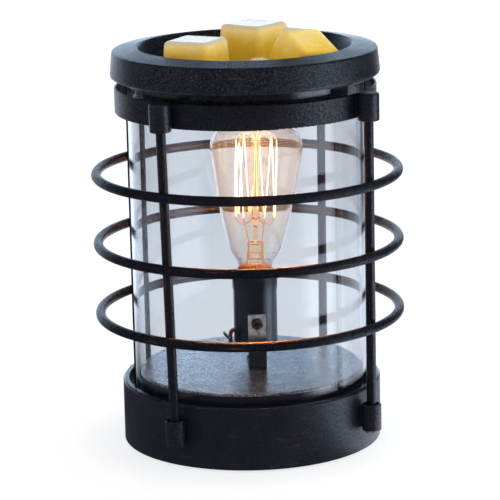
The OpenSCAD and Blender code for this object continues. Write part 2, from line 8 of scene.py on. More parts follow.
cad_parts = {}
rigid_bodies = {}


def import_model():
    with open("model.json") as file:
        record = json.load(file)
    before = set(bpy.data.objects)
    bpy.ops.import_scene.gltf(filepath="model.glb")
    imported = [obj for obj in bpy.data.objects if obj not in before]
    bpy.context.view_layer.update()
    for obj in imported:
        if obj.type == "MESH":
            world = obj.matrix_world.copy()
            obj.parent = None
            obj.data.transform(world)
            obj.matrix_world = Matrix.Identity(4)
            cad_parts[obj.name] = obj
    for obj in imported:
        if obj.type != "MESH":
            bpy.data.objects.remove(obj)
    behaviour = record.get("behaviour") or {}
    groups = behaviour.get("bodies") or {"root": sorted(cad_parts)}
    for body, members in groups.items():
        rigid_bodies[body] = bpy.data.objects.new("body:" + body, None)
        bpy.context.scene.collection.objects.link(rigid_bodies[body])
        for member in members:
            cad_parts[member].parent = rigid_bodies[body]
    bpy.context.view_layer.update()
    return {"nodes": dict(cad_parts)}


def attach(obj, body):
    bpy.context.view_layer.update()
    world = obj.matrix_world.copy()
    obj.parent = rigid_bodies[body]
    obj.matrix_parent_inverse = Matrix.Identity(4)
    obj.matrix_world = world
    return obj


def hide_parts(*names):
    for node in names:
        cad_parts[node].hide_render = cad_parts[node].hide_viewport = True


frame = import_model()
N = frame["nodes"]
scene = bpy.context.scene

# ---------------------------------------------------------------- camera
RIGHT = Vector((0.97915, -0.20250, -0.01616))
UP = Vector((0.06169, 0.22058, 0.97342))
FWD = Vector((0.19355, 0.95412, -0.22847))
cam_data = bpy.data.cameras.new("camera")
cam_data.sensor_width = 36.0
cam_data.lens = 179.75
cam_data.clip_start = 0.05
cam_data.clip_end = 50.0
cam = bpy.data.objects.new("camera", cam_data)
ROLL = math.radians(-0.32)
rot = Matrix((RIGHT * math.cos(ROLL) + UP * math.sin(ROLL), UP * math.cos(ROLL) - RIGHT * math.sin(ROLL), -FWD)).transposed().to_4x4()
cam.matrix_world = Matrix.Translation(Vector((-0.22685, -1.12098, 0.35814))) @ rot
scene.collection.objects.link(cam)
scene.camera = cam

scene.view_settings.view_transform = "Standard"
scene.view_settings.look = "None"
scene.cycles.max_bounces = 24
scene.cycles.transmission_bounces = 24
scene.cycles.glossy_bounces = 6
scene.cycles.diffuse_bounces = 4
scene.cycles.transparent_max_bounces = 16
scene.cycles.sample_clamp_indirect = 4.0
scene.cycles.blur_glossy = 0.5


# ---------------------------------------------------------------- node helpers
class Tree:
    """Short calls to build a node tree."""

    def __init__(self, nt):
        self.nt = nt

    def put(self, socket, v):
        if isinstance(v, bpy.types.NodeSocket):
            self.nt.links.new(v, socket)
        elif v is not None:
            socket.default_value = v

    def math(self, op, a, b=None, c=None, clamp=False):
        n = self.nt.nodes.new("ShaderNodeMath")
        n.operation = op
        n.use_clamp = clamp
        for i, v in enumerate((a, b, c)):
            self.put(n.inputs[i], v)
        return n.outputs[0]

    def vec(self, op, a, b=None, scale=None):
        n = self.nt.nodes.new("ShaderNodeVectorMath")
        n.operation = op
        self.put(n.inputs[0], a)
        if b is not None:
            self.put(n.inputs[1], b)
        if scale is not None:
            self.put(n.inputs[3], scale)
        return n.outputs[1] if op in ("DOT_PRODUCT", "LENGTH") else n.outputs[0]

    def xyz(self, v):
        n = self.nt.nodes.new("ShaderNodeSeparateXYZ")
        self.put(n.inputs[0], v)
        return n.outputs[0], n.outputs[1], n.outputs[2]

    def join(self, x, y, z):
        n = self.nt.nodes.new("ShaderNodeCombineXYZ")
        for i, v in enumerate((x, y, z)):
            self.put(n.inputs[i], v)
        return n.outputs[0]

    def noise(self, vector, scale, detail=3.0, rough=0.55, distort=0.0):
        n = self.nt.nodes.new("ShaderNodeTexNoise")
        self.put(n.inputs["Vector"], vector)
        n.inputs["Scale"].default_value = scale
        n.inputs["Detail"].default_value = detail
        n.inputs["Roughness"].default_value = rough
        n.inputs["Distortion"].default_value = distort
        return n.outputs[0]

    def cells(self, vector, scale, out="Distance"):
        n = self.nt.nodes.new("ShaderNodeTexVoronoi")
        self.put(n.inputs["Vector"], vector)
        n.inputs["Scale"].default_value = scale
        return n.outputs[out]

    def fit(self, v, a, b, lo=0.0, hi=1.0, smooth=True):
        n = self.nt.nodes.new("ShaderNodeMapRange")
        n.interpolation_type = "SMOOTHSTEP" if smooth else "LINEAR"
        self.put(n.inputs[0], v)
        for i, w in zip((1, 2, 3, 4), (a, b, lo, hi)):
            self.put(n.inputs[i], w)
        return n.outputs[0]

    def mix(self, fac, a, b, kind="MIX"):
        n = self.nt.nodes.new("ShaderNodeMix")
        n.data_type = "RGBA"
        n.blend_type = kind
        self.put(n.inputs[0], fac)
        self.put(n.inputs[6], colour(a))
        self.put(n.inputs[7], colour(b))
        return n.outputs[2]

    def bump(self, height, strength, distance, normal=None):
        n = self.nt.nodes.new("ShaderNodeBump")
        n.inputs["Strength"].default_value = strength
        n.inputs["Distance"].default_value = distance
        self.put(n.inputs["Height"], height)
        if normal is not None:
            self.put(n.inputs["Normal"], normal)
        return n.outputs[0]

    def coords(self):
        n = self.nt.nodes.new("ShaderNodeTexCoord")
        return n.outputs["Object"]


def colour(c):
    if isinstance(c, (tuple, list)) and len(c) == 3:
        return (c[0], c[1], c[2], 1.0)
    return c


def material(name):
    m = bpy.data.materials.new(name)
    m.use_nodes = True
    b = m.node_tree.nodes["Principled BSDF"]
    return m, Tree(m.node_tree), b


def wear(obj, m):
    """Gives every slot of an object the material."""
    if not obj.material_slots:
        obj.data.materials.append(m)
    for s in obj.material_slots:
        s.material = m


def round_coords(t, centre=(0.0, 0.0)):
    """Position as (way round, radius, height) in metres, for marks that run round the axis."""
    p = t.coords()
    x, y, z = t.xyz(p)
    x = t.math("SUBTRACT", x, centre[0])
    y = t.math("SUBTRACT", y, centre[1])
    a = t.math("ARCTAN2", y, x)
    r = t.math("SQRT", t.math("ADD", t.math("MULTIPLY", x, x), t.math("MULTIPLY", y, y)))
    return p, a, r, z


# ---------------------------------------------------------------- materials
def bronze(name, way="ring", base=(0.0040, 0.0060, 0.0125), rough=0.42, grain=0.5, flecks=1.0, speckle=0.0,
           copper=(0.15, 0.040, 0.018), ior=1.45, bump_size=1500.0, dot=0.25, dot_size=1500.0,
           edge=None, painted_glint=None, sheen=0.0):
    """Dark oil-rubbed paint: blue-black, a fine sanded grain, and copper rubbed through in short strokes."""
    m, t, b = material(name)
    p, a, r, z = round_coords(t)
    if way == "ring":
        brush = t.join(t.math("MULTIPLY", a, 5.5), t.math("MULTIPLY", r, 1300.0), t.math("MULTIPLY", z, 1300.0))
    else:
        brush = t.vec("MULTIPLY", p, (1500.0, 1500.0, 95.0))
    strokes = t.noise(brush, 1.0, 3.0, 0.6)
    cloud = t.noise(p, 55.0, 3.0, 0.6)
    fine = t.noise(p, 2600.0, 2.0, 0.6)
    blot = t.noise(p, bump_size, 2.0, 0.65)
    lift = t.math("MULTIPLY", t.fit(strokes, 0.60, 0.72), t.fit(cloud, 0.40, 0.66))
    lift = t.math("MULTIPLY", lift, 0.75 * flecks, clamp=True)
    tone = t.mix(t.fit(cloud, 0.3, 0.7), base, tuple(c * k for c, k in zip(base, (1.75, 1.35, 1.15) if sheen == 0 else (1.08, 1.06, 1.05))))
    tone = t.mix(t.math("MULTIPLY", t.fit(blot, 0.45, 0.75), 0.5), tone, (0.012, 0.011, 0.014))
    if speckle:
        pale = t.fit(blot, 0.50, 0.64)
        tone = t.mix(t.math("MULTIPLY", pale, speckle), tone, (0.22, 0.25, 0.30) if sheen == 0 else (0.10, 0.12, 0.15))
    # painted glints: a share of small cells gets a bright base colour, standing in for specular sparkle
    if painted_glint:
        painted_glint_cells = t.cells(p, painted_glint[0], "Color")
        tone = t.mix(t.math("GREATER_THAN", painted_glint_cells, painted_glint[1]), tone, painted_glint[2])
    # painted shade: on metallic pieces the base colour turns darker from left to right, standing in for darker
    # reflections there
    if sheen:
        tone = t.mix(t.fit(t.xyz(p)[0], -0.035, 0.030, 0.0, 0.55), tone, (0.02, 0.03, 0.045))
    t.put(b.inputs["Base Color"], t.mix(lift, tone, copper))
    ro = t.fit(fine, 0.25, 0.75, rough - 0.06, rough + 0.07, smooth=False)
    ro = t.math("ADD", ro, t.math("MULTIPLY", t.fit(cloud, 0.35, 0.7), 0.06))
    worn = t.math("MULTIPLY", z, 0.0)
    if edge:
        worn = t.math("MULTIPLY", t.fit(z, edge[0] - 0.0004, edge[0]), t.fit(r, edge[1] + 0.0003, edge[1] - 0.0003))
        ro = t.math("SUBTRACT", ro, t.math("MULTIPLY", worn, rough - 0.12))
    t.put(b.inputs["Roughness"], ro)
    b.inputs["IOR"].default_value = ior
    b.inputs["Metallic"].default_value = sheen
    dots = t.noise(t.vec("ADD", p, (0.31, 0.17, 0.05)), dot_size, 1.0, 0.5)
    t.put(b.inputs["Specular IOR Level"], t.math("ADD", t.fit(dots, 0.38, 0.62, 0.5 - dot, 0.5 + dot, smooth=False),
                                                 t.math("MULTIPLY", worn, 0.45)))
    height = t.math("ADD", t.math("MULTIPLY", blot, 0.8), t.math("MULTIPLY", strokes, 0.45))
    height = t.math("ADD", height, t.math("MULTIPLY", fine, 0.35))
    height = t.math("MULTIPLY", height, t.math("SUBTRACT", 1.0, t.math("MULTIPLY", worn, 0.75)))
    t.put(b.inputs["Normal"], t.bump(height, grain, 0.0003))
    return m


def clear_glass(name, tint, ior=1.47, waves=0.06, painted_glow=0.0, painted_edge=None):
    m, t, b = material(name)
    p = t.coords()
    slow = t.noise(p, 14.0, 2.0, 0.5)
    t.put(b.inputs["Base Color"], t.mix(t.fit(slow, 0.3, 0.7), tint, tuple(min(1.0, c * 1.025) for c in tint)))
    b.inputs["Transmission Weight"].default_value = 1.0
    b.inputs["Roughness"].default_value = 0.0
    b.inputs["IOR"].default_value = ior
    long_way = t.noise(t.vec("MULTIPLY", p, (60.0, 60.0, 9.0)), 1.0, 2.0, 0.4)
    t.put(b.inputs["Normal"], t.bump(long_way, waves, 0.0006))
    # painted shade: where the glass is seen at a grazing angle it turns into an opaque dark skin (warm brown on the
    # bulb), standing in for the dark lines light draws at glass edges
    if painted_edge:
        lw = t.nt.nodes.new("ShaderNodeLayerWeight")
        lw.inputs["Blend"].default_value = 0.5
        p, a, r, z = round_coords(t)
        painted_edge_mask = t.math("MULTIPLY", t.fit(lw.outputs["Facing"], painted_edge[0], painted_edge[1], 0.0, painted_edge[3]), t.math("GREATER_THAN", r, painted_edge[2]))
        tone = t.mix(t.fit(slow, 0.3, 0.7), tint, tuple(min(1.0, c * 1.025) for c in tint))
        if painted_edge[2]:
            tone = t.mix(t.fit(z, 0.075, 0.125), tone, tuple(c * 0.935 for c in tint))
        t.put(b.inputs["Base Color"], t.mix(painted_edge_mask, tone, painted_edge[4]))
        t.put(b.inputs["Transmission Weight"], t.math("SUBTRACT", 1.0, painted_edge_mask))
        t.put(b.inputs["Specular IOR Level"], t.math("MULTIPLY", t.math("SUBTRACT", 1.0, painted_edge_mask), 0.5))
    # painted glow: the glass glows orange in a band round the thread's height, standing in for the thread's light in it
    if painted_glow:
        x, y, z = t.xyz(p)
        glow = t.math("MULTIPLY", t.fit(z, 0.084, 0.122, 0.12, 1.0), t.fit(z, 0.156, 0.136, 0.3, 1.0))
        t.put(b.inputs["Emission Color"], t.mix(slow, (1.0, 0.43, 0.13), (1.0, 0.50, 0.20)))
        t.put(b.inputs["Emission Strength"], t.math("MULTIPLY", glow, painted_glow))
    return m


def wax_material(name, low, high, sheen=0.0):
    """Translucent yellow wax: pale and glossy on top, deeper and more orange down its sides; the pale top is a painted
    highlight and the deeper orange low down is painted shade.
    """
    m, t, b = material(name)
    p = t.coords()
    x, y, z = t.xyz(p)
    n1 = t.noise(p, 95.0, 3.0, 0.55)
    n2 = t.noise(p, 620.0, 3.0, 0.6)
    # painted shade: the sides turn deeper and more orange towards the foot
    depth = t.fit(t.math("ADD", z, t.math("MULTIPLY", t.math("SUBTRACT", n1, 0.5), 0.006)), low, high)
    side = t.mix(depth, (0.80, 0.50, 0.042), (0.84, 0.65, 0.21))
    side = t.mix(t.math("MULTIPLY", t.fit(n1, 0.42, 0.75), 0.30), side, (0.86, 0.70, 0.34))
    # painted highlight: the top takes a paler, greyer tone than the sides
    top = t.fit(z, high - 0.0006, high + 0.0016)
    tone = t.mix(t.math("MULTIPLY", top, 0.80), side, (0.47, 0.44, 0.38))
    t.put(b.inputs["Base Color"], tone)
    t.put(b.inputs["Specular IOR Level"], t.math("SUBTRACT", 0.5, t.math("MULTIPLY", top, 0.27)))
    b.inputs["Subsurface Weight"].default_value = 0.85
    b.inputs["Subsurface Radius"].default_value = (1.0, 0.55, 0.16)
    b.inputs["Subsurface Scale"].default_value = 0.006
    b.inputs["IOR"].default_value = 1.46
    t.put(b.inputs["Roughness"], t.fit(n2, 0.3, 0.7, 0.16, 0.30, smooth=False))
    h = t.math("ADD", t.math("MULTIPLY", n1, 1.0), t.math("MULTIPLY", n2, 0.12))
    t.put(b.inputs["Normal"], t.bump(h, 0.35, 0.0009))
    return m


def moulded(name, base, rough=0.5, grain=0.25, ior=1.5, painted_shade=None):
    """Moulded plastic or rubber with a fine even grain."""
    m, t, b = material(name)
    p = t.coords()
    n1 = t.noise(p, 160.0, 3.0, 0.6)
    n2 = t.noise(p, 2400.0, 2.0, 0.6)
    tone = t.mix(t.fit(n1, 0.35, 0.7), base, tuple(c * 1.5 for c in base))
    # painted shade: below the first height the tone turns darker by the given factor
    if painted_shade:
        x, y, z = t.xyz(p)
        tone = t.mix(t.fit(z, painted_shade[0], painted_shade[1]), tuple(c * painted_shade[2] for c in base), tone)
    t.put(b.inputs["Base Color"], tone)
    t.put(b.inputs["Roughness"], t.fit(n2, 0.3, 0.7, rough - 0.06, rough + 0.06, smooth=False))
    b.inputs["IOR"].default_value = ior
    t.put(b.inputs["Normal"], t.bump(n2, grain, 0.0001))
    return m


def metal(name, base, dark, rough=0.3, way=(900.0, 900.0, 60.0), grain=0.25, tarnish=0.5, body=1.0, leg=None):
    """Bare or plated metal with drawn lines and some tarnish."""
    m, t, b = material(name)
    p = t.coords()
    lines = t.noise(t.vec("MULTIPLY", p, way), 1.0, 3.0, 0.6)
    blot = t.noise(p, 420.0, 4.0, 0.6)
    tone = t.mix(t.math("MULTIPLY", t.fit(blot, 0.40, 0.72), tarnish), base, dark)
    # leg: past the first height, away from the second, the tone turns to the given colour; on the strap this dark lower
    # part is painted shade
    if leg:
        x, y, z = t.xyz(p)
        tone = t.mix(t.fit(z, leg[0], leg[1]), t.mix(blot, leg[2], tuple(c * 0.6 for c in leg[2])), tone)
    t.put(b.inputs["Base Color"], tone)
    b.inputs["Metallic"].default_value = body
    t.put(b.inputs["Roughness"], t.fit(lines, 0.3, 0.7, rough - 0.07, rough + 0.09, smooth=False))
    t.put(b.inputs["Normal"], t.bump(t.math("ADD", lines, t.math("MULTIPLY", blot, 0.5)), grain, 0.00008))
    return m


def glowing(name, hot, warm, strength, z0, z1, base=(0.9, 0.6, 0.3)):
    """A wire that glows: whitest along its middle, more orange towards its hooks. The thread is a lamp; on the hooks
    and lead wires the glow is painted light.
    """
    m, t, b = material(name)
    p = t.coords()
    x, y, z = t.xyz(p)
    n1 = t.noise(p, 700.0, 2.0, 0.5)
    zz = t.math("ADD", z, t.math("MULTIPLY", t.math("SUBTRACT", n1, 0.5), 0.002))
    body = t.math("MULTIPLY", t.fit(zz, z0, z0 + 0.007), t.fit(zz, z1, z1 - 0.005))
    t.put(b.inputs["Base Color"], t.mix(n1, base, tuple(c * 0.8 for c in base)))
    t.put(b.inputs["Emission Color"], t.mix(body, warm, hot))
    b.inputs["Emission Strength"].default_value = strength
    b.inputs["Roughness"].default_value = 0.5
    return m


M = {
    "drum": bronze("bronze_drum", base=(0.0037, 0.0061, 0.0140), rough=0.34, grain=0.42, flecks=0.65, ior=1.45, dot=0.18, edge=(0.0295, 0.0606)),
    "groove": bronze("bronze_groove", rough=0.15, grain=0.15, flecks=0.3, ior=1.9, dot=0.1),
    "band": bronze("bronze_band", base=(0.0028, 0.0043, 0.0095), rough=0.32, grain=0.6, flecks=0.5, ior=1.38, dot=0.35),
    "hoop": bronze("bronze_hoop", base=(0.0024, 0.0036, 0.0078), rough=0.25, grain=0.8, flecks=0.6, ior=1.25, dot=0.5, dot_size=1700.0),
    "post": bronze("bronze_post", base=(0.0026, 0.0038, 0.0078), way="up", rough=0.25, grain=0.4, flecks=0.8, ior=1.42, dot=0.2),
    "cap": bronze("bronze_cap", way="up", rough=0.28, grain=0.45, flecks=0.6, ior=1.48),
    # the dish and the deck carry painted glints in their base colour
    "dish": bronze("bronze_dish", base=(0.0030, 0.0042, 0.0088), rough=0.27, grain=0.7, flecks=0.45, speckle=0.02, ior=1.38, dot=0.3, dot_size=1700.0,
                   edge=(0.1871, 0.0475), painted_glint=(2000.0, 0.70, (0.020, 0.025, 0.033))),
    # the deck's base colour is also painted darker towards its right, painted shade
    "deck": bronze("bronze_deck", base=(0.51, 0.52, 0.54), rough=0.25, grain=0.30, flecks=0.03, speckle=0.55, ior=2.0,
                   bump_size=1000.0, dot=0.4, dot_size=1700.0, painted_glint=(1700.0, 0.62, (1.0, 1.0, 1.0)), sheen=0.9),
    "cover": moulded("cover_paint", (0.020, 0.020, 0.022), 0.5, 0.4),
    "rubber": moulded("black_rubber", (0.014, 0.014, 0.015), 0.75, 0.5),
    # both glasses get painted dark edges at grazing angles; the bulb glass also gets a painted glow
    "glass": clear_glass("chimney_glass", (0.812, 0.842, 0.876), painted_edge=(0.80, 0.84, 0.0554, 1.0, (0.004, 0.006, 0.009))),
    "bulb_glass": clear_glass("bulb_glass", (0.985, 0.95, 0.915), 1.46, 0.10, painted_glow=0.072, painted_edge=(0.84, 0.97, 0.0, 0.45, (0.30, 0.17, 0.10))),
    "phenolic": moulded("dark_phenolic", (0.0045, 0.006, 0.011), 0.16, 0.15, 1.75),
    "zinc": metal("zinc_plate", (0.52, 0.53, 0.52), (0.22, 0.22, 0.21), 0.36),
    # the strap's dark lower part is painted shade
    "strap": metal("strap_plate", (0.82, 0.80, 0.77), (0.22, 0.20, 0.18), 0.34, way=(700.0, 700.0, 700.0), tarnish=0.9, body=0.45,
                   leg=(0.0485, 0.0535, (0.030, 0.036, 0.046))),
    "screw": metal("dark_screw", (0.42, 0.40, 0.38), (0.05, 0.05, 0.05), 0.22, way=(1600.0, 1600.0, 1600.0), grain=1.0, tarnish=0.9),
    "brass": metal("shell_brass", (0.80, 0.56, 0.22), (0.42, 0.24, 0.09), 0.28),
    "skirt": metal("cap_brass", (0.80, 0.56, 0.22), (0.42, 0.24, 0.09), 0.30, leg=(0.0794, 0.0789, (0.46, 0.22, 0.045))),
    "solder": metal("solder", (0.62, 0.62, 0.60), (0.35, 0.35, 0.34), 0.30),
    # the leads' lower ends are painted darker, painted shade
    "lead": moulded("lead_insulation", (0.17, 0.060, 0.032), 0.42, 0.2, painted_shade=(0.0425, 0.0500, 0.12)),
    "strip": moulded("black_strip", (0.010, 0.010, 0.011), 0.4, 0.2),
    "nylon": moulded("nylon", (0.46, 0.44, 0.38), 0.45, 0.2),
    "insulator": moulded("black_insulator", (0.010, 0.010, 0.012), 0.22, 0.1),
    "copper_wire": metal("lead_wire", (0.72, 0.38, 0.17), (0.35, 0.15, 0.06), 0.3),
}

for names, key in (
    (("base_shell", "base_shell_rear"), "drum"), (("top_band",), "band"), (("hoop_upper", "hoop_middle", "hoop_lower"), "hoop"),
    (("wax_dish", "dish_skirt"), "dish"), (("base_deck",), "deck"), (("base_groove", "deck_wall"), "groove"), (("bottom_cover",), "cover"),
    (("rubber_feet", "cord_grommet", "lead_bushing"), "rubber"), (("glass_chimney",), "glass"),
    (("socket_body", "socket_collar"), "phenolic"), (("socket_bracket",), "strap"), (("foot_screw", "foot_nut", "cover_screws"), "zinc"),
    (("bracket_screw",), "screw"), (("socket_shell", "socket_contact"), "brass"), (("bulb_cap",), "skirt"), (("bulb_tip",), "solder"),
    (("lead_clip",), "strip"), (("splice_cap_live", "splice_cap_neutral"), "nylon"), (("bulb_insulator",), "insulator"),
    (("bulb_envelope",), "bulb_glass"), (("lead_live", "lead_neutral"), "lead"),
):
    for n in names:
        wear(N[n], M[key])
for s in ("front_left", "front_right", "rear_right", "rear_left"):
    wear(N["post_" + s], M["post"])
    wear(N["lower_cap_" + s], M["cap"])
    wear(N["upper_cap_" + s], M["cap"])

# the lamps' light passes the glass
for n in ("glass_chimney", "bulb_envelope"):
    N[n].visible_shadow = False


# ---------------------------------------------------------------- mesh helpers
def mesh_object(name, verts, faces, m, body, nodes=(), smooth=True):
    me = bpy.data.meshes.new(name)
    me.from_pydata([tuple(v) for v in verts], [], faces)
    me.update()
    bm = bmesh.new()
    bm.from_mesh(me)
    bmesh.ops.remove_doubles(bm, verts=bm.verts, dist=1e-7)
    bmesh.ops.recalc_face_normals(bm, faces=bm.faces)
    bm.to_mesh(me)
    bm.free()
    o = bpy.data.objects.new(name, me)
    scene.collection.objects.link(o)
    if smooth:
        for poly in me.polygons:
            poly.use_smooth = True
    me.materials.append(m)
    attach(o, body)
    if nodes:
        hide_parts(*nodes)
    return o


def spin(profile, segs, place=Matrix.Identity(4), closed=True, ripple=None):
    """A solid of revolution about Z from (radius, height) points."""
    verts, faces = [], []
    n = len(profile)
    for i in range(segs):
        a = 2 * math.pi * i / segs
        for k, (r, z) in enumerate(profile):
            rr = r * (1 + ripple(a, k)) if ripple else r
            verts.append(place @ Vector((rr * math.cos(a), rr * math.sin(a), z)))
    last = n if closed else n - 1
    for i in range(segs):
        j = (i + 1) % segs
        for k in range(last):
            l = (k + 1) % n
            faces.append((i * n + k, j * n + k, j * n + l, i * n + l))
    return verts, faces


def wire(points, radius, sides=10, start=0, taper=None):
    """Tube along points, closed at both ends; returns vertices and faces numbered from start."""
    pts = [Vector(p) for p in points]
    n = len(pts)
    tangents = [(pts[min(i + 1, n - 1)] - pts[max(i - 1, 0)]).normalized() for i in range(n)]
    ref = Vector((0.31, 0.93, 0.19))
    side = (ref - tangents[0] * ref.dot(tangents[0])).normalized()
    verts, faces = [], []
    for i, (p, d) in enumerate(zip(pts, tangents)):
        side = (side - d * side.dot(d)).normalized()
        up = d.cross(side)
        rr = radius * (taper(i / (n - 1)) if taper else 1.0)
        for k in range(sides):
            a = 2 * math.pi * k / sides
            verts.append(p + rr * (math.cos(a) * side + math.sin(a) * up))
    for i in range(n - 1):
        for k in range(sides):
            l = (k + 1) % sides
            faces.append(tuple(start + q for q in (i * sides + k, i * sides + l, (i + 1) * sides + l, (i + 1) * sides + k)))
    faces.append(tuple(start + k for k in reversed(range(sides))))
    faces.append(tuple(start + (n - 1) * sides + k for k in range(sides)))
    return verts, faces


def wires(name, paths, radius, m, body, nodes=(), sides=10, taper=None):
    verts, faces = [], []
    for p in paths:
        v, f = wire(p, radius, sides, len(verts), taper)
        verts += v
        faces += f
    return mesh_object(name, verts, faces, m, body, nodes)


def smooth_path(pts, n=6):
    """Catmull-Rom curve through points."""
    p = [Vector(q) for q in pts]
    p = [2 * p[0] - p[1]] + p + [2 * p[-1] - p[-2]]
    out = []
    for i in range(1, len(p) - 2):
        a, b, c, d = p[i - 1:i + 3]
        for k in range(n):
            t = k / n
            out.append(0.5 * (2 * b + (c - a) * t + (2 * a - 5 * b + 4 * c - d) * t * t + (3 * b - a - 3 * c + d) * t ** 3))
    out.append(p[-2])
    return out


MM = 0.001

# ---------------------------------------------------------------- wax
def corner_steps(half, r, flat):
    arc = [half - r + r * math.tan(math.radians(45 * i / 7)) for i in range(8)]
    line = [(half - r) * (2 * i / flat - 1) for i in range(1, flat)]
    return [-a for a in reversed(arc)] + line + arc


def wax_piece(name, node, body, place, w, d, h, r, foot, mid, mid_z, seed, on=(1, 1, 1, 1)):
    """A cast wax cube: rounded edges, drawn-in foot, a shallow hollow on top and soft uneven sides.
    foot and mid are how far the sides are drawn in at the foot and at mid_z; on is each side's share of it."""
    def inset(z, share):
        steps = [(0, foot * share), (r, foot * share), (mid_z, mid * share), (h - r, 0.9), (h, 0.9)]
        for (z0, a), (z1, b) in zip(steps, steps[1:]):
            if z <= z1:
                return a + (b - a) * max(0.0, min(1.0, (z - z0) / (z1 - z0)))
        return 0.9

    bm = bmesh.new()
    hw, hd, hh = w / 2, d / 2, h / 2
    steps = {0: corner_steps(hw, r, 14), 1: corner_steps(hd, r, 14), 2: corner_steps(hh, r, 14)}
    half = (hw, hd, hh)
    for axis in range(3):
        u, v = (axis + 1) % 3, (axis + 2) % 3
        for sgn in (-1, 1):
            grid = []
            for a in steps[u]:
                row = []
                for b in steps[v]:
                    p = [0.0, 0.0, 0.0]
                    p[axis], p[u], p[v] = sgn * half[axis], a, b
                    c = [max(-(half[i] - r), min(half[i] - r, p[i])) for i in range(3)]
                    dlt = Vector([p[i] - c[i] for i in range(3)])
                    q = Vector(c) + dlt.normalized() * r
                    row.append(bm.verts.new(q))
                grid.append(row)
            for i in range(len(grid) - 1):
                for j in range(len(grid[0]) - 1):
                    f = (grid[i][j], grid[i + 1][j], grid[i + 1][j + 1], grid[i][j + 1])
                    bm.faces.new(f if sgn > 0 else tuple(reversed(f)))
    bmesh.ops.remove_doubles(bm, verts=bm.verts, dist=1e-4)
    for vert in bm.verts:
        x, y, z = vert.co
        zz = z + hh
        fx = (hw - inset(zz, on[0] if x < 0 else on[1])) / hw
        fy = (hd - inset(zz, on[2] if y < 0 else on[3])) / hd
        x, y = x * fx, y * fy
        nx = noise.noise(Vector((x, y, zz)) * 0.16 + Vector((seed, 0, 0)))
        ny = noise.noise(Vector((x, y, zz)) * 0.45 + Vector((0, seed, 0)))
        pull = 1.0 - 0.004 * (nx + 1) - 0.002 * (ny + 1)
        if z > hh - r * 1.5:
            hollow = max(0.0, 1 - (x / (hw - 1.5)) ** 4) * max(0.0, 1 - (y / (hd - 1.5)) ** 4)
            zz -= 0.30 * hollow
        vert.co = Vector((x * pull, y * pull, zz - 0.05 * (nx + 1)))
        if vert.co.z < 0.0:
            vert.co.z = 0.0
    bmesh.ops.recalc_face_normals(bm, faces=bm.faces)
    me = bpy.data.meshes.new(name)
    bm.to_mesh(me)
    bm.free()
    me.transform(place @ Matrix.Diagonal((MM, MM, MM, 1)))
    for poly in me.polygons:
        poly.use_smooth = True
    o = bpy.data.objects.new(name, me)
    scene.collection.objects.link(o)
    zs = [v.co.z for v in me.vertices]
    m = wax_material(name + "_wax", 0.1845, max(zs) - 0.0022)
    me.materials.append(m)
    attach(o, body)
    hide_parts(node)
    return o


def at(x, y, z, rx=0.0, ry=0.0, rz=0.0, down=0.0):
    e = Matrix.Rotation(math.radians(rz), 4, "Z") @ Matrix.Rotation(math.radians(ry), 4, "Y") @ Matrix.Rotation(math.radians(rx), 4, "X")
    return Matrix.Translation(Vector((x, y, z)) * MM) @ e @ Matrix.Translation(Vector((0, 0, down)) * MM)


FLOOR = 182.2 - 15.2
wax_piece("wax_left", "wax_cube_left", "cube_left", at(-24.4, -9.1, FLOOR, rz=-37.4), 25, 25, 25.5, 3, 2, 0, 8, 3.1)
wax_piece("wax_middle", "wax_cube_middle", "cube_middle", at(9.7, 24.4, FLOOR, rz=-48.1), 25.9, 25.9, 26.9, 3, 3.2, 0, 8, 7.7)
wax_piece("wax_right", "wax_cube_right", "cube_right", at(23.3, -21.1, FLOOR + 15.35, 25.6, 9.2, 23.5, down=-9), 24, 24, 20, 3,
          4, 1.8, 10, 11.3, (0.1, 1, 1, 0.3))
wax_piece("wax_front", "wax_cube_front", "cube_front", at(1.7, -29.4, FLOOR, rz=14), 10, 14, 18, 2.6, 1.2, 0, 6, 5.2)

# ---------------------------------------------------------------- bulb
HX, HY = 2.4, -0.4
BULB = (Matrix.Translation(Vector((HX, HY, 70)) * MM) @ Matrix.Rotation(math.radians(-12), 4, "Z")
        @ Matrix.Rotation(math.radians(1.7), 4, "Y") @ Matrix.Rotation(math.radians(-11 + 12), 4, "Z")
        @ Matrix.Translation(Vector((0, 0, -70)) * MM) @ Matrix.Diagonal((MM, MM, MM, 1)))
CAGE_R, LOW, HIGH, STRANDS = 9.5, 106.8, 142.2, 14


def place_angle(k):
    return math.radians(-36 - k * 300 / STRANDS)


def on_cage(k, z, r=CAGE_R):
    a = place_angle(k)
    return Vector((r * math.sin(a), -r * math.cos(a), z))


hot = glowing("filament_glow", (1.0, 0.80, 0.58), (1.0, 0.42, 0.12), 6.0, 0.1068, 0.1422)
# painted glow: the support hooks and the lead wires glow, standing in for the thread's light on them
hook_mat = glowing("hook_painted_glow", (1.0, 0.70, 0.46), (1.0, 0.55, 0.30), 2.0, 0.09, 0.16, base=(0.5, 0.42, 0.34))
lower_mat = metal("hook_wire", (0.42, 0.22, 0.10), (0.16, 0.07, 0.03), 0.35, tarnish=0.7, body=0.6)
lead_mat = glowing("lead_painted_glow", (1.0, 0.55, 0.22), (0.8, 0.36, 0.12), 0.42, 0.083, 0.107, base=(0.45, 0.22, 0.08))
rod_mat, rt, rb = material("rod_glass")
rp = rt.coords()
rt.put(rb.inputs["Base Color"], rt.mix(rt.noise(rp, 300.0), (1.0, 0.86, 0.66), (1.0, 0.78, 0.52)))
rb.inputs["Transmission Weight"].default_value = 0.97
rb.inputs["Roughness"].default_value = 0.05
rb.inputs["IOR"].default_value = 1.47
# painted glow: the rod glows faintly orange, standing in for the thread's light in it
rt.put(rb.inputs["Emission Color"], rt.mix(rt.noise(rp, 120.0), (1.0, 0.62, 0.40), (1.0, 0.52, 0.28)))
rb.inputs["Emission Strength"].default_value = 0.05

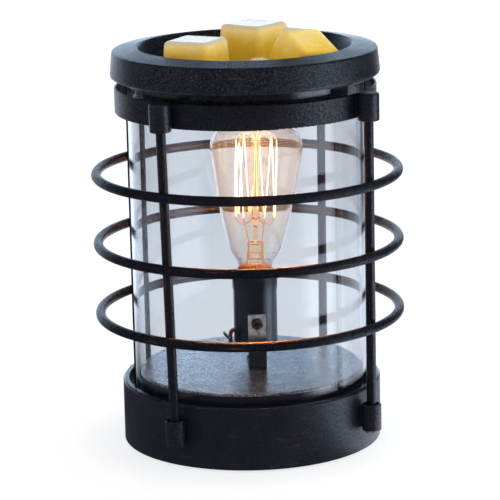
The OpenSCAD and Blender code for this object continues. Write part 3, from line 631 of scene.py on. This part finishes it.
# filament: one thread, up and down between the hooks, with a small turn at each
path = []
for k in range(STRANDS + 1):
    top = k % 2 == 1
    z = HIGH - 0.5 if top else LOW + 0.1
    sgn = 1 if top else -1
    c = on_cage(k, z)
    tangent = Vector((math.cos(place_angle(k)), math.sin(place_angle(k)), 0)) * -1
    if k == 0:
        path.append(c)
        continue
    if k == STRANDS:
        path.append(c)
        break
    for a in (-70, -35, 0, 35, 70):
        q = math.radians(a)
        path.append(c + tangent * 0.5 * math.sin(q) + Vector((0, 0, sgn * 0.5 * (math.cos(q) - 0.4))))
fine_path = []
for a, b in zip(path, path[1:]):
    n = 14 if (a - b).length > 5 else 1
    for i in range(n):
        t = i / n
        p = a.lerp(b, t)
        if n > 1:
            bow = 0.22 * math.sin(math.pi * t)
            p = p + Vector((p.x, p.y, 0)).normalized() * bow
        fine_path.append(p)
fine_path.append(path[-1])
filament = wires("filament_thread", [[BULB @ p for p in fine_path]], 0.19 * MM, hot, "bulb", ("bulb_filament",))

# hooks: fine loops from the button and the bead out to the thread
hooks = []
for k in range(1, STRANDS, 2):
    rr = [(0.9, 142.5), (2.2, 144.6), (4.6, 146.0), (7.2, 145.2), (9.1, 143.2), (9.6, 142.0), (9.3, 141.3)]
    hooks.append([BULB @ on_cage(k, q.y, q.x) for q in smooth_path([(r, z, 0) for r, z in rr], 4)])
wires("support_hooks", hooks, 0.14 * MM, hook_mat, "bulb", ("bulb_hooks",), sides=8)
hooks = []
for k in range(2, STRANDS - 1, 2):
    rr = [(1.4, 105.6), (3.2, 103.6), (5.6, 102.5), (8.0, 103.6), (9.3, 105.6), (9.7, 106.8), (9.3, 107.5)]
    hooks.append([BULB @ on_cage(k, q.y, q.x) for q in smooth_path([(r, z, 0) for r, z in rr], 4)])
wires("lower_hooks", hooks, 0.10 * MM, lower_mat, "bulb", sides=8)

# lead wires from the pinch to the ends of the thread
lead_paths = []
for sx, k in ((-1, 0), (1, STRANDS)):
    end = on_cage(k, LOW - 0.2)
    foot = Vector((sx * 3.1, 0.0, 94.0))
    pts = [(sx * 3.0, 0.0, 86.5), (sx * 3.05, 0.0, 90.0), foot, foot.lerp(end, 0.35), foot.lerp(end, 0.7), (end.x, end.y, 106.2),
           (end.x, end.y, 107.2)]
    lead_paths.append([BULB @ p for p in smooth_path([tuple(q) for q in pts], 6)])
wires("lead_wires", lead_paths, 0.20 * MM, lead_mat, "bulb", ("bulb_leads",), sides=10)

# centre rod with its bead and button
rod_prof = [(0.0, 93.6), (1.0, 93.6), (1.05, 96.0), (0.95, 99.0), (1.0, 101.6), (1.35, 102.9), (1.9, 103.8), (2.25, 105.0),
            (2.25, 106.0), (1.95, 107.1), (1.62, 108.2), (1.5, 112.0), (1.5, 126.0), (1.5, 138.4), (1.55, 139.8), (1.85, 140.6),
            (2.15, 141.6), (2.2, 142.6), (1.9, 143.6), (1.2, 144.3), (0.0, 144.5)]
v, f = spin([(r, z) for r, z in rod_prof], 40, BULB, closed=False)
mesh_object("centre_rod", v, f, rod_mat, "bulb", ("bulb_rod",))

# stem: pinch with upright ridges
stem_mat, st, sb = material("stem_glass")
sp = st.coords()
sn = st.noise(sp, 420.0, 3.0, 0.6)
st.put(sb.inputs["Base Color"], st.mix(sn, (1.0, 0.90, 0.76), (1.0, 0.82, 0.62)))
sb.inputs["Transmission Weight"].default_value = 0.97
sb.inputs["Roughness"].default_value = 0.03
sb.inputs["IOR"].default_value = 1.5
# painted glow: the pinch glows faintly orange, standing in for the thread's light in it
st.put(sb.inputs["Emission Color"], st.mix(st.fit(sn, 0.45, 0.65), (1.0, 0.60, 0.34), (1.0, 0.84, 0.66)))
sb.inputs["Emission Strength"].default_value = 0.03
verts, faces = [], []
ZS = [83.6, 85.0, 86.6, 88.0, 89.6, 91.2, 92.4, 93.2, 93.8, 94.1]
SEG = 72
for z in ZS:
    if z < 87:
        wx, wy, ridge = 3.9, 2.6, 0.10
    elif z < 93:
        wx, wy, ridge = 3.9, 1.9, 0.09
    else:
        wx, wy, ridge = {93.2: (3.8, 1.8, 0.06), 93.8: (3.5, 1.5, 0.03), 94.1: (2.9, 1.0, 0.0)}[z]
    for i in range(SEG):
        a = 2 * math.pi * i / SEG
        ca, sa = math.cos(a), math.sin(a)
        e = 0.55
        x = wx * math.copysign(abs(ca) ** e, ca)
        y = wy * math.copysign(abs(sa) ** e, sa)
        k = 1 + ridge * math.cos(8 * a)
        verts.append(BULB @ Vector((x * (1 + 0.3 * (k - 1)), y * k, z)))
for j in range(len(ZS) - 1):
    for i in range(SEG):
        l = (i + 1) % SEG
        faces.append((j * SEG + i, j * SEG + l, (j + 1) * SEG + l, (j + 1) * SEG + i))
faces.append(tuple(reversed(range(SEG))))
faces.append(tuple((len(ZS) - 1) * SEG + i for i in range(SEG)))
mesh_object("stem_pinch", verts, faces, stem_mat, "bulb", ("bulb_stem",))

# the flare: a ribbed amber skirt of glass that closes the neck; its lighter and darker stripes along the ribs and its
# orange glow are painted light from the thread
flare_mat, ft, fb = material("flare_glass")
fp = ft.coords()
fx, fy, fz = ft.xyz(fp)
fa = ft.math("ARCTAN2", ft.math("SUBTRACT", fy, HY * MM), ft.math("SUBTRACT", fx, (HX + 0.3) * MM))
ribs = ft.fit(ft.math("SINE", ft.math("MULTIPLY", fa, 26.0)), -0.6, 0.8)
ribs = ft.math("MULTIPLY", ribs, ft.fit(ft.noise(fp, 500.0), 0.3, 0.7, 0.5, 1.0))
ft.put(fb.inputs["Base Color"], ft.mix(ribs, (0.10, 0.034, 0.004), (0.46, 0.22, 0.03)))
fb.inputs["Roughness"].default_value = 0.22
fb.inputs["Metallic"].default_value = 0.0
fb.inputs["Specular IOR Level"].default_value = 0.25
# painted glow: the flare glows orange, brightest on the ribs
ft.put(fb.inputs["Emission Color"], ft.mix(ribs, (0.45, 0.11, 0.0), (1.0, 0.46, 0.03)))
fb.inputs["Emission Strength"].default_value = 0.21
flare_prof = [(0.0, 80.9), (6.2, 80.9), (6.5, 81.5), (6.9, 82.4), (7.25, 83.1), (7.1, 83.4), (6.5, 83.4), (5.2, 83.3), (4.2, 83.6), (0.0, 83.8)]
v, f = spin(flare_prof, 104, BULB, closed=False, ripple=lambda a, k: 0.006 * math.cos(26 * a) if 3 <= k <= 7 else 0.0)
mesh_object("stem_flare", v, f, flare_mat, "bulb")

# ---------------------------------------------------------------- floor, light
# Compass of the studio: 0 = front, 90 = right, 180 = back, -90 = left (degrees)
FRONT_DIR, RIGHT_DIR = (-0.198, -0.980), (0.980, -0.198)


def compass(t, x, y):
    a = t.math("ADD", t.math("MULTIPLY", x, FRONT_DIR[0]), t.math("MULTIPLY", y, FRONT_DIR[1]))
    b = t.math("ADD", t.math("MULTIPLY", x, RIGHT_DIR[0]), t.math("MULTIPLY", y, RIGHT_DIR[1]))
    return t.math("MULTIPLY", t.math("ARCTAN2", b, a), 180 / math.pi)


def walls(t, deg, front, left, right, gap, back):
    """Brightness of the studio round the compass."""
    box = t.math("MULTIPLY", t.fit(deg, 40, 62), t.fit(deg, 104, 82))
    rear = t.math("MAXIMUM", t.fit(deg, 146, 170), t.math("ADD", t.fit(deg, -122, -150, 0.0, 0.75), t.fit(deg, -158, -178, 0.0, 0.25)))
    side = t.math("MULTIPLY", t.fit(deg, -30, -62), t.fit(deg, -122, -96))
    level = t.math("ADD", front, t.math("MULTIPLY", box, right - front))
    level = t.math("ADD", level, t.math("MULTIPLY", side, left - front))
    return t.math("ADD", level, t.math("MULTIPLY", rear, back - gap))


floor_mesh = bpy.data.meshes.new("floor")
floor_mesh.from_pydata([(-6, -4, 0), (6, -4, 0), (6, 8, 0), (-6, 8, 0)], [], [(0, 1, 2, 3)])
floor = bpy.data.objects.new("floor", floor_mesh)
scene.collection.objects.link(floor)
fm, gt, gb = material("floor_paper")
gp = gt.coords()
gx, gy, gz = gt.xyz(gp)
gb.inputs["Roughness"].default_value = 0.8
gb.inputs["Specular IOR Level"].default_value = 0.1
gb.inputs["Emission Color"].default_value = (0.97, 0.985, 1.0, 1.0)
glp = gt.nt.nodes.new("ShaderNodeLightPath")
gr = gt.math("SQRT", gt.math("ADD", gt.math("MULTIPLY", gx, gx), gt.math("MULTIPLY", gy, gy)))
# painted shade and light in the floor's reflection: seen in reflections its glow follows the studio walls, is darker
# near the object as painted shade, and has a brighter patch to the right near the object as painted light
mirrored = gt.math("MULTIPLY", walls(gt, compass(gt, gx, gy), 0.07, 0.20, 2.1, 0.0, 1.6), gt.fit(gr, 0.10, 0.34, 0.46, 1.0))
near_right = gt.math("MULTIPLY", gt.fit(compass(gt, gx, gy), 50, 60), gt.fit(gr, 0.60, 0.34))
mirrored = gt.math("ADD", mirrored, gt.math("MULTIPLY", near_right, 0.75))
bounced = gt.math("GREATER_THAN", glp.outputs["Glossy Depth"], 0.5)
own = gt.math("ADD", gt.math("MULTIPLY", gt.math("SUBTRACT", 1.0, bounced), 0.74), gt.math("MULTIPLY", bounced, mirrored))
paper = gt.mix(gt.noise(gp, 9.0), (0.318, 0.322, 0.330), (0.332, 0.336, 0.344))
gt.put(gb.inputs["Base Color"], gt.mix(bounced, paper, (0.0, 0.0, 0.0)))
gt.put(gb.inputs["Emission Strength"], own)
gt.put(gb.inputs["Emission Color"], gt.mix(bounced, (0.97, 0.985, 1.0), (0.90, 0.975, 1.13)))
floor_mesh.materials.append(fm)

world = bpy.data.worlds.new("studio")
scene.world = world
world.use_nodes = True
wt = Tree(world.node_tree)
bg = world.node_tree.nodes["Background"]
wc = world.node_tree.nodes.new("ShaderNodeTexCoord").outputs["Generated"]
wx_, wy_, wz_ = wt.xyz(wc)
deg = compass(wt, wx_, wy_)
lp = world.node_tree.nodes.new("ShaderNodeLightPath")
mirror = walls(wt, deg, 0.04, 0.09, 1.9, 0.0, 2.75)
mirror = wt.math("MULTIPLY", mirror, wt.fit(wz_, 0.20, 0.34, 1.0, 0.04))
mirror = wt.math("ADD", mirror, wt.fit(wz_, 0.6, 0.95, 0.0, 0.12))
key = wt.math("SUBTRACT", wt.math("MULTIPLY", wt.fit(deg, 0, 60, 0.0, 0.42), wt.fit(deg, 175, 120)), wt.fit(deg, -10, -70, 0.0, 0.20))
soft = wt.math("MULTIPLY", wt.math("ADD", 1.0, key), wt.fit(wz_, 0.22, 0.80, 1.95, 0.36))
diff = wt.math("GREATER_THAN", lp.outputs["Diffuse Depth"], 0.5)
shiny = wt.math("MULTIPLY", wt.math("GREATER_THAN", lp.outputs["Glossy Depth"], 0.5), wt.math("SUBTRACT", 1.0, diff))
seen = wt.math("SUBTRACT", wt.math("SUBTRACT", 1.0, diff), shiny)
strength = wt.math("ADD", wt.math("MULTIPLY", seen, 1.06), wt.math("MULTIPLY", diff, soft))
strength = wt.math("ADD", strength, wt.math("MULTIPLY", shiny, mirror))
wt.put(bg.inputs["Color"], wt.mix(shiny, (0.965, 0.98, 1.0), (0.60, 0.78, 1.0)))
wt.put(bg.inputs["Strength"], strength)


def aim(obj, where, target):
    obj.location = where
    obj.rotation_euler = (Vector(target) - Vector(where)).to_track_quat("-Z", "Y").to_euler()


def lamp(name, kind, where, target, energy, tint, **more):
    d = bpy.data.lights.new(name, kind)
    d.energy = energy
    d.color = tint
    for k, val in more.items():
        setattr(d, k, val)
    o = bpy.data.objects.new(name, d)
    scene.collection.objects.link(o)
    aim(o, where, target)
    o.visible_camera = False
    return o


sun = lamp("sky_light", "SUN", (0.5, 0.6, 1.5), (0, 0, 0), 0.8, (1.0, 0.99, 0.97), angle=math.radians(60))
sun.visible_glossy = False
lit = bpy.data.collections.new("lit_by_thread")
for o in list(scene.objects):
    if o.type == "MESH" and o not in (N["wax_dish"], N["dish_skirt"], N["base_deck"]):
        lit.objects.link(o)
for i, z in enumerate((112.0, 125.0, 138.0)):
    w = BULB @ Vector((0, 0, z))
    g = lamp(f"filament_light_{i}", "POINT", w, (0, 0, 0), 0.045, (1.0, 0.36, 0.10), shadow_soft_size=0.006)
    g.visible_transmission = False
    g.light_linking.receiver_collection = lit

# soft strips left and right that draw the light lines on worn edges, and one overhead for the wax
edges = bpy.data.collections.new("worn_edges")
waxes = bpy.data.collections.new("wax_shine")
for key_, o in N.items():
    if key_.startswith(("base_shell", "lower_cap", "upper_cap", "hoop_")):
        edges.objects.link(o)
for o in list(scene.objects):
    if o.type == "MESH" and o.name.startswith("wax_") and o.name != "wax_dish":
        waxes.objects.link(o)
for name, where, energy, size, tall, who in (
    ("strip_left", (-0.95, -0.15, 0.80), 1.3, 0.10, 0.9, edges), ("strip_right", (0.95, 0.05, 0.80), 1.5, 0.10, 0.9, edges),
    ("shine_overhead", (0.15, -0.35, 1.15), 1.6, 0.5, 0.5, waxes),
):
    g = lamp(name, "AREA", where, (0, 0, 0.12), energy, (0.80, 0.90, 1.0), shape="RECTANGLE", size=size, size_y=tall)
    g.visible_diffuse = False
    g.visible_transmission = False
    g.light_linking.receiver_collection = who

# the thread's own reflection in the metal round it is lit by lamps, which leaves less grain than the thin thread
for o in scene.objects:
    if o.type == "MESH" and o.name.startswith("filament"):
        o.visible_glossy = False
metalwork = bpy.data.collections.new("metalwork")
for key, o in N.items():
    if key.startswith("hoop_"):
        metalwork.objects.link(o)
for i, z in enumerate((114.0, 134.0)):
    g = lamp(f"filament_shine_{i}", "POINT", BULB @ Vector((0, 0, z)), (0, 0, 0), 6.5, (1.0, 0.30, 0.09), shadow_soft_size=0.009)
    g.visible_diffuse = False
    g.visible_transmission = False
    g.light_linking.receiver_collection = metalwork

# ---------------------------------------------------------------- glow round the thread
scene.use_nodes = True
ct = scene.node_tree
for n in list(ct.nodes):
    ct.nodes.remove(n)
layers = ct.nodes.new("CompositorNodeRLayers")
glare = ct.nodes.new("CompositorNodeGlare")
comp = ct.nodes.new("CompositorNodeComposite")
glare.glare_type = "BLOOM"
glare.quality = "HIGH"
for key, val in (("Threshold", 1.6), ("Smoothness", 0.1), ("Strength", 0.10), ("Size", 0.2), ("Maximum", 6.0)):
    if key in glare.inputs:
        try:
            glare.inputs[key].default_value = val
        except Exception:
            pass
ct.links.new(layers.outputs["Image"], glare.inputs["Image"])
ct.links.new(glare.outputs["Image"], comp.inputs["Image"])
